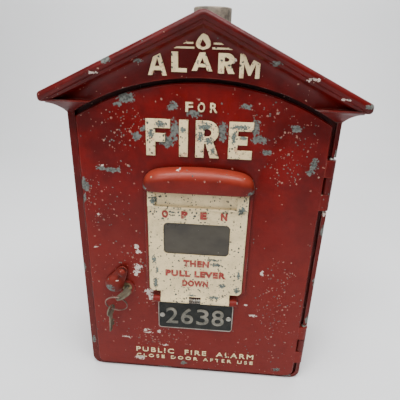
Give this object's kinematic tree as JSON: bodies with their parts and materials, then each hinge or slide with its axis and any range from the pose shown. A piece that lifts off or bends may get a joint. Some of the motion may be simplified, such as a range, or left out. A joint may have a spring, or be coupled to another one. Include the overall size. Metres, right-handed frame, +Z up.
{
  "type": "manual call point",
  "caption": "Cast gabled fire alarm call box with a hinged locking front door, a drop-down windowed trip door over a pull hook, and a clockwork signal movement inside.",
  "frame": {"origin": "on the flat base, on the centreline, 70 mm in front of the wall face", "axes": "+X to the right seen from the front, +Y back towards the wall, +Z up"},
  "size_m": [0.313, 0.1525, 0.4355],
  "materials": {
    "red_enamel": "old gloss red enamel, chipped to grey metal and primer",
    "cream_enamel": "old cream enamel, chipped and speckled",
    "plate_enamel": "black enamelled plate, worn at its edges",
    "bare_casting": "dull unpainted casting",
    "steel": "tarnished steel",
    "brass": "aged brass",
    "window_glass": "dusty glass",
    "rubber": "matt",
    "black_fibre": "moulded fibre, matt",
    "black_iron": "black japanned iron"
  },
  "bodies": {
    "case": {"case_shell": "red_enamel", "conduit_hub": "bare_casting", "hub_locknut": "steel", "door_gasket": "rubber", "hinge_pin_upper": "steel", "hinge_pin_lower": "steel", "movement_tray": "black_iron", "tray_screw_1": "steel", "tray_screw_2": "steel", "tray_screw_3": "steel", "tray_screw_4": "steel", "front_plate": "brass", "back_plate": "brass", "plate_pillar_1": "brass", "plate_pillar_2": "brass", "plate_pillar_3": "brass", "plate_pillar_4": "brass", "lever_stud": "steel", "lever_spring": "steel", "contact_block": "black_fibre", "contact_spring_lower": "steel", "contact_spring_upper": "steel", "terminal_block": "black_fibre", "terminal_screw_1": "brass", "terminal_screw_2": "brass", "terminal_screw_3": "brass", "terminal_screw_4": "brass", "bell_gong": "brass", "bell_post": "steel", "bell_coil": "black_fibre", "coil_bracket": "steel", "striker_pivot": "steel", "ground_lug": "brass"},
    "door": {"main_door": "red_enamel", "trip_hood": "red_enamel", "number_plate": "plate_enamel", "number_plate_screw_left": "steel", "number_plate_screw_right": "steel", "keyhole_cover_rivet": "red_enamel", "lock_case": "black_iron", "trip_hinge_pin": "steel", "trip_spring": "steel"},
    "trip": {"trip_door": "cream_enamel", "window_glass": "window_glass", "window_retainer": "bare_casting"},
    "keyhole_cover": {"keyhole_cover": "red_enamel"},
    "lock_bolt": {"lock_bolt": "steel"},
    "lock_cylinder": {"lock_cylinder": "brass", "door_key": "steel"},
    "key_ring": {"key_ring": "steel"},
    "spare_key": {"spare_key": "steel"},
    "pull_lever": {"pull_lever": "brass"},
    "winding": {"winding_arbor": "steel"},
    "barrel": {"mainspring_barrel": "brass"},
    "code_arbor": {"second_wheel": "brass", "code_wheel": "brass"},
    "third_arbor": {"third_wheel": "brass"},
    "fly": {"governor_fly": "steel"},
    "bell_striker": {"bell_striker": "steel"}
  },
  "joints": [
    {"name": "main_door_hinge", "type": "hinge", "parent": "case", "child": "door", "pos_m": [0.1325, -0.0535, 0.18], "axis": [0, 0, 1], "range_deg": [0, 110]},
    {"name": "trip_door_hinge", "type": "hinge", "parent": "door", "child": "trip", "pos_m": [0, -0.0627, 0.118], "axis": [1, 0, 0], "range_deg": [0, 100], "stiffness_Nm_per_rad": 0.12, "springref_deg": -34.38},
    {"name": "keyhole_cover_swing", "type": "hinge", "parent": "door", "child": "keyhole_cover", "pos_m": [-0.087, -0.062, 0.153], "axis": [0, 1, 0], "range_deg": [0, 100]},
    {"name": "door_key_turn", "type": "hinge", "parent": "door", "child": "lock_cylinder", "pos_m": [-0.084, -0.058, 0.128], "axis": [0, 1, 0], "range_deg": [0, 90]},
    {"name": "lock_bolt_slide", "type": "slide", "parent": "door", "child": "lock_bolt", "axis": [-1, 0, 0], "range_m": [0, 0.0121]},
    {"name": "key_ring_swing", "type": "hinge", "parent": "lock_cylinder", "child": "key_ring", "pos_m": [-0.08934, -0.0765, 0.12466], "axis": [0.9397, 0.1057, -0.3253], "range_deg": [-60, 2]},
    {"name": "spare_key_swing", "type": "hinge", "parent": "key_ring", "child": "spare_key", "pos_m": [-0.10185, -0.06981, 0.10406], "axis": [0.766, 0.1986, -0.6113], "range_deg": [-30, 6]},
    {"name": "pull_lever_swing", "type": "hinge", "parent": "case", "child": "pull_lever", "pos_m": [-0.055, -0.034, 0.205], "axis": [0, 1, 0], "range_deg": [0, 35], "stiffness_Nm_per_rad": 0.15, "springref_deg": -28.65},
    {"name": "winding_arbor_turn", "type": "hinge", "parent": "case", "child": "winding", "pos_m": [-0.039, -0.01, 0.17729], "axis": [0, 1, 0], "range_deg": [-106, 0]},
    {"name": "mainspring_barrel_turn", "type": "hinge", "parent": "case", "child": "barrel", "pos_m": [-0.039, 0.015, 0.17729], "axis": [0, 1, 0], "continuous": true},
    {"name": "second_arbor_turn", "type": "hinge", "parent": "case", "child": "code_arbor", "pos_m": [-0.01316, 0.006, 0.18669], "axis": [0, 1, 0], "continuous": true},
    {"name": "third_arbor_turn", "type": "hinge", "parent": "case", "child": "third_arbor", "pos_m": [0.01002, 0.024, 0.18048], "axis": [0, 1, 0], "continuous": true},
    {"name": "fly_turn", "type": "hinge", "parent": "case", "child": "fly", "pos_m": [0.02734, 0.033, 0.19048], "axis": [0, 1, 0], "continuous": true},
    {"name": "bell_striker_swing", "type": "hinge", "parent": "case", "child": "bell_striker", "pos_m": [-0.006, 0.03, 0.078], "axis": [0, 1, 0], "range_deg": [0, 4], "stiffness_Nm_per_rad": 0.03, "springref_deg": -17.19}
  ],
  "couplings": [
    {"joint": "lock_bolt_slide", "follows": "door_key_turn", "m_per_rad": 0.0076394},
    {"joint": "winding_arbor_turn", "follows": "pull_lever_swing", "ratio": -3},
    {"joint": "second_arbor_turn", "follows": "mainspring_barrel_turn", "ratio": -2.6667},
    {"joint": "third_arbor_turn", "follows": "mainspring_barrel_turn", "ratio": 8},
    {"joint": "fly_turn", "follows": "mainspring_barrel_turn", "ratio": -24}
  ]
}
